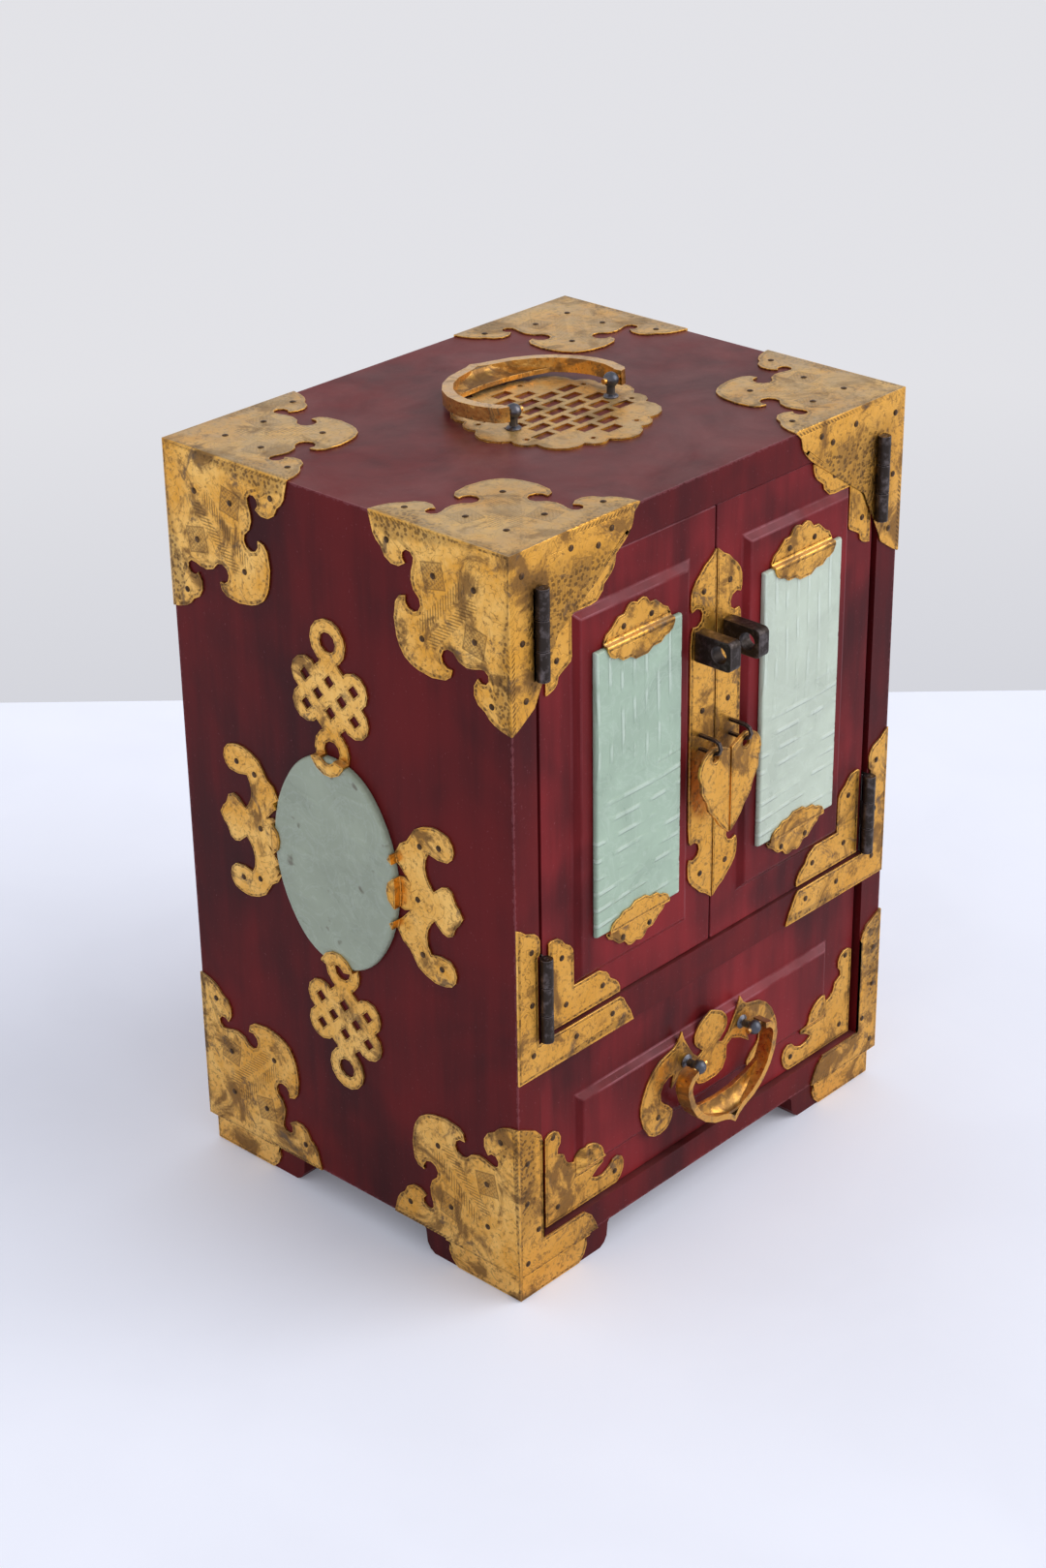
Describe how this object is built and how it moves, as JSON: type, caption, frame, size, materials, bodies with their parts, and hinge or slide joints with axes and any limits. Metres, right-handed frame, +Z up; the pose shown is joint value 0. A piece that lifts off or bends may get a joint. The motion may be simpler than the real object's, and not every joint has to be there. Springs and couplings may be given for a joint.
{
  "type": "jewelry cabinet",
  "caption": "Lacquered table-top jewelry cabinet with two jade-panelled doors, a wide lower drawer, brass corner mounts and hinged bail handles.",
  "frame": {"origin": "centre of the bounding box's underside, on the ground under the middle of the cabinet", "axes": "+X to the right seen from the front, +Y to the back, so the doors face -Y, +Z up"},
  "size_m": [0.2432, 0.204, 0.3386],
  "materials": {
    "lacquered_wood": "dark red lacquer with a satin sheen",
    "wood_inside": "plain dark wood inside",
    "brass": "old engraved brass sheet",
    "dark_steel": "darkened steel with worn edges",
    "jade_pale": "pale carved jade",
    "jade_grey": "grey-green carved jade"
  },
  "bodies": {
    "case": {"top_board": "lacquered_wood", "bottom_board": "lacquered_wood", "left_side_board": "lacquered_wood", "right_side_board": "lacquered_wood", "back_panel": "wood_inside", "divider_board": "lacquered_wood", "cupboard_shelves": "wood_inside", "front_left_foot": "lacquered_wood", "front_right_foot": "lacquered_wood", "back_left_foot": "lacquered_wood", "back_right_foot": "lacquered_wood", "top_front_corner_mounts": "brass", "top_back_corner_mounts": "brass", "bottom_front_corner_mounts": "brass", "bottom_back_corner_mounts": "brass", "lower_case_plates": "brass", "case_hinge_leaves": "dark_steel", "hinge_pins": "dark_steel", "left_side_jade": "jade_grey", "right_side_jade": "jade_grey", "side_knots": "brass", "side_bats": "brass", "rosette_plate": "brass", "handle_posts": "dark_steel", "inner_drawer_fronts": "wood_inside", "inner_drawer_sides": "wood_inside", "inner_drawer_backs": "wood_inside", "inner_drawer_bottoms": "wood_inside", "inner_drawer_knobs": "brass"},
    "carrying_handle": {"carrying_handle": "brass"},
    "left_door": {"left_door_panel": "lacquered_wood", "left_door_jade": "jade_pale", "left_door_clips": "brass", "left_door_hinge_plates": "brass", "left_door_hinge_leaves": "dark_steel", "left_lock_plate": "brass", "left_lock_lug": "dark_steel", "left_pull_staple": "dark_steel"},
    "right_door": {"right_door_panel": "lacquered_wood", "right_door_jade": "jade_pale", "right_door_clips": "brass", "right_door_hinge_plates": "brass", "right_door_hinge_leaves": "dark_steel", "right_lock_plate": "brass", "right_lock_lug": "dark_steel", "right_pull_staple": "dark_steel"},
    "left_pull": {"left_pull": "brass"},
    "right_pull": {"right_pull": "brass"},
    "drawer": {"drawer_front": "lacquered_wood", "drawer_sides": "wood_inside", "drawer_back": "wood_inside", "drawer_bottom": "wood_inside", "drawer_corner_plates": "brass", "drawer_bat_plate": "brass", "drawer_handle_posts": "dark_steel"},
    "drawer_handle": {"drawer_handle": "brass"}
  },
  "joints": [
    {"name": "left_door_swing", "type": "hinge", "parent": "case", "child": "left_door", "pos_m": [-0.10295, -0.0862, 0.216], "axis": [0, 0, -1], "range_deg": [0, 165]},
    {"name": "right_door_swing", "type": "hinge", "parent": "case", "child": "right_door", "pos_m": [0.10295, -0.0862, 0.216], "axis": [0, 0, 1], "range_deg": [0, 165]},
    {"name": "left_pull_swing", "type": "hinge", "parent": "left_door", "child": "left_pull", "pos_m": [-0.0095, -0.0916, 0.2145], "axis": [-1, 0, 0], "range_deg": [0, 100]},
    {"name": "right_pull_swing", "type": "hinge", "parent": "right_door", "child": "right_pull", "pos_m": [0.0095, -0.0916, 0.2145], "axis": [-1, 0, 0], "range_deg": [0, 100]},
    {"name": "drawer_slide", "type": "slide", "parent": "case", "child": "drawer", "axis": [0, -1, 0], "range_m": [0, 0.12]},
    {"name": "drawer_handle_swing", "type": "hinge", "parent": "drawer", "child": "drawer_handle", "pos_m": [0.0019, -0.0916, 0.0706], "axis": [-0.9973, 0, -0.0732], "range_deg": [0, 100]},
    {"name": "carrying_handle_swing", "type": "hinge", "parent": "case", "child": "carrying_handle", "pos_m": [0.005, 0.0008, 0.3353], "axis": [0.9962, -0.0872, 0], "range_deg": [0, 175]}
  ]
}
